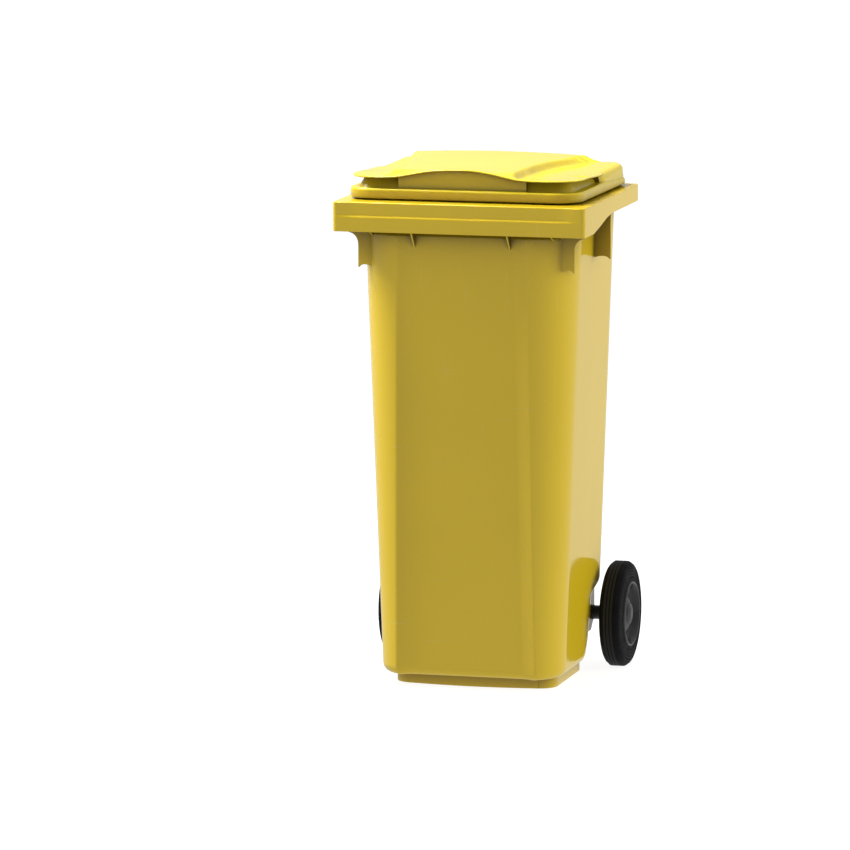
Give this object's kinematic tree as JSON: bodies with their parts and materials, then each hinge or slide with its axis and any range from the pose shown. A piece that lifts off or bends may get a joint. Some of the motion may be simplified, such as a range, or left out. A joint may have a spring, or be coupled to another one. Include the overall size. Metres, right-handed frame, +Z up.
{
  "type": "two-wheeled refuse bin",
  "caption": "Two-wheeled refuse bin with a tapered body, a hinged lid with finger wings, a rear handle and wheels on a steel axle.",
  "frame": {"origin": "centre of the footprint on the floor", "axes": "+X to the right seen from the front, +Y from the front to the handle, +Z up"},
  "size_m": [0.48, 0.55, 0.9767],
  "materials": {
    "body_plastic": "moulded yellow polyethylene, glossy",
    "lid_plastic": "moulded yellow polyethylene, glossy",
    "wheel_plastic": "moulded black plastic, satin",
    "pin_plastic": "moulded black plastic, satin",
    "tyre_rubber": "solid black rubber",
    "buffer_rubber": "soft black rubber",
    "axle_steel": "zinc-plated bar, dull",
    "lock_steel": "bright steel"
  },
  "bodies": {
    "body": {"body": "body_plastic", "axle": "axle_steel", "axle_sleeve_left": "wheel_plastic", "axle_sleeve_right": "wheel_plastic", "hinge_pin_left": "pin_plastic", "hinge_pin_right": "pin_plastic"},
    "lid": {"lid": "lid_plastic", "lid_buffer_1": "buffer_rubber", "lid_buffer_2": "buffer_rubber", "lid_buffer_3": "buffer_rubber", "lid_buffer_4": "buffer_rubber"},
    "wheel_left": {"tyre_left": "tyre_rubber", "wheel_hub_left": "wheel_plastic", "hub_cap_left": "wheel_plastic", "lock_spring_left": "lock_steel"},
    "wheel_right": {"tyre_right": "tyre_rubber", "wheel_hub_right": "wheel_plastic", "hub_cap_right": "wheel_plastic", "lock_spring_right": "lock_steel"},
    "lock_left": {"lock_pin_left": "lock_steel"},
    "lock_right": {"lock_pin_right": "lock_steel"}
  },
  "joints": [
    {"name": "lid_hinge", "type": "hinge", "parent": "body", "child": "lid", "pos_m": [0, 0.259, 0.883], "axis": [-1, 0, 0], "range_deg": [0, 270]},
    {"name": "wheel_left_spin", "type": "hinge", "parent": "body", "child": "wheel_left", "pos_m": [0, 0.105, 0.1], "axis": [1, 0, 0], "continuous": true},
    {"name": "wheel_right_spin", "type": "hinge", "parent": "body", "child": "wheel_right", "pos_m": [0, 0.105, 0.1], "axis": [1, 0, 0], "continuous": true},
    {"name": "lock_pin_left_slide", "type": "slide", "parent": "wheel_left", "child": "lock_left", "axis": [0, 0, 1], "range_m": [0, 0.003], "stiffness_N_per_m": 400, "springref_m": -0.004, "deforming": ["lock_spring_left"]},
    {"name": "lock_pin_right_slide", "type": "slide", "parent": "wheel_right", "child": "lock_right", "axis": [0, 0, 1], "range_m": [0, 0.003], "stiffness_N_per_m": 400, "springref_m": -0.004, "deforming": ["lock_spring_right"]}
  ]
}
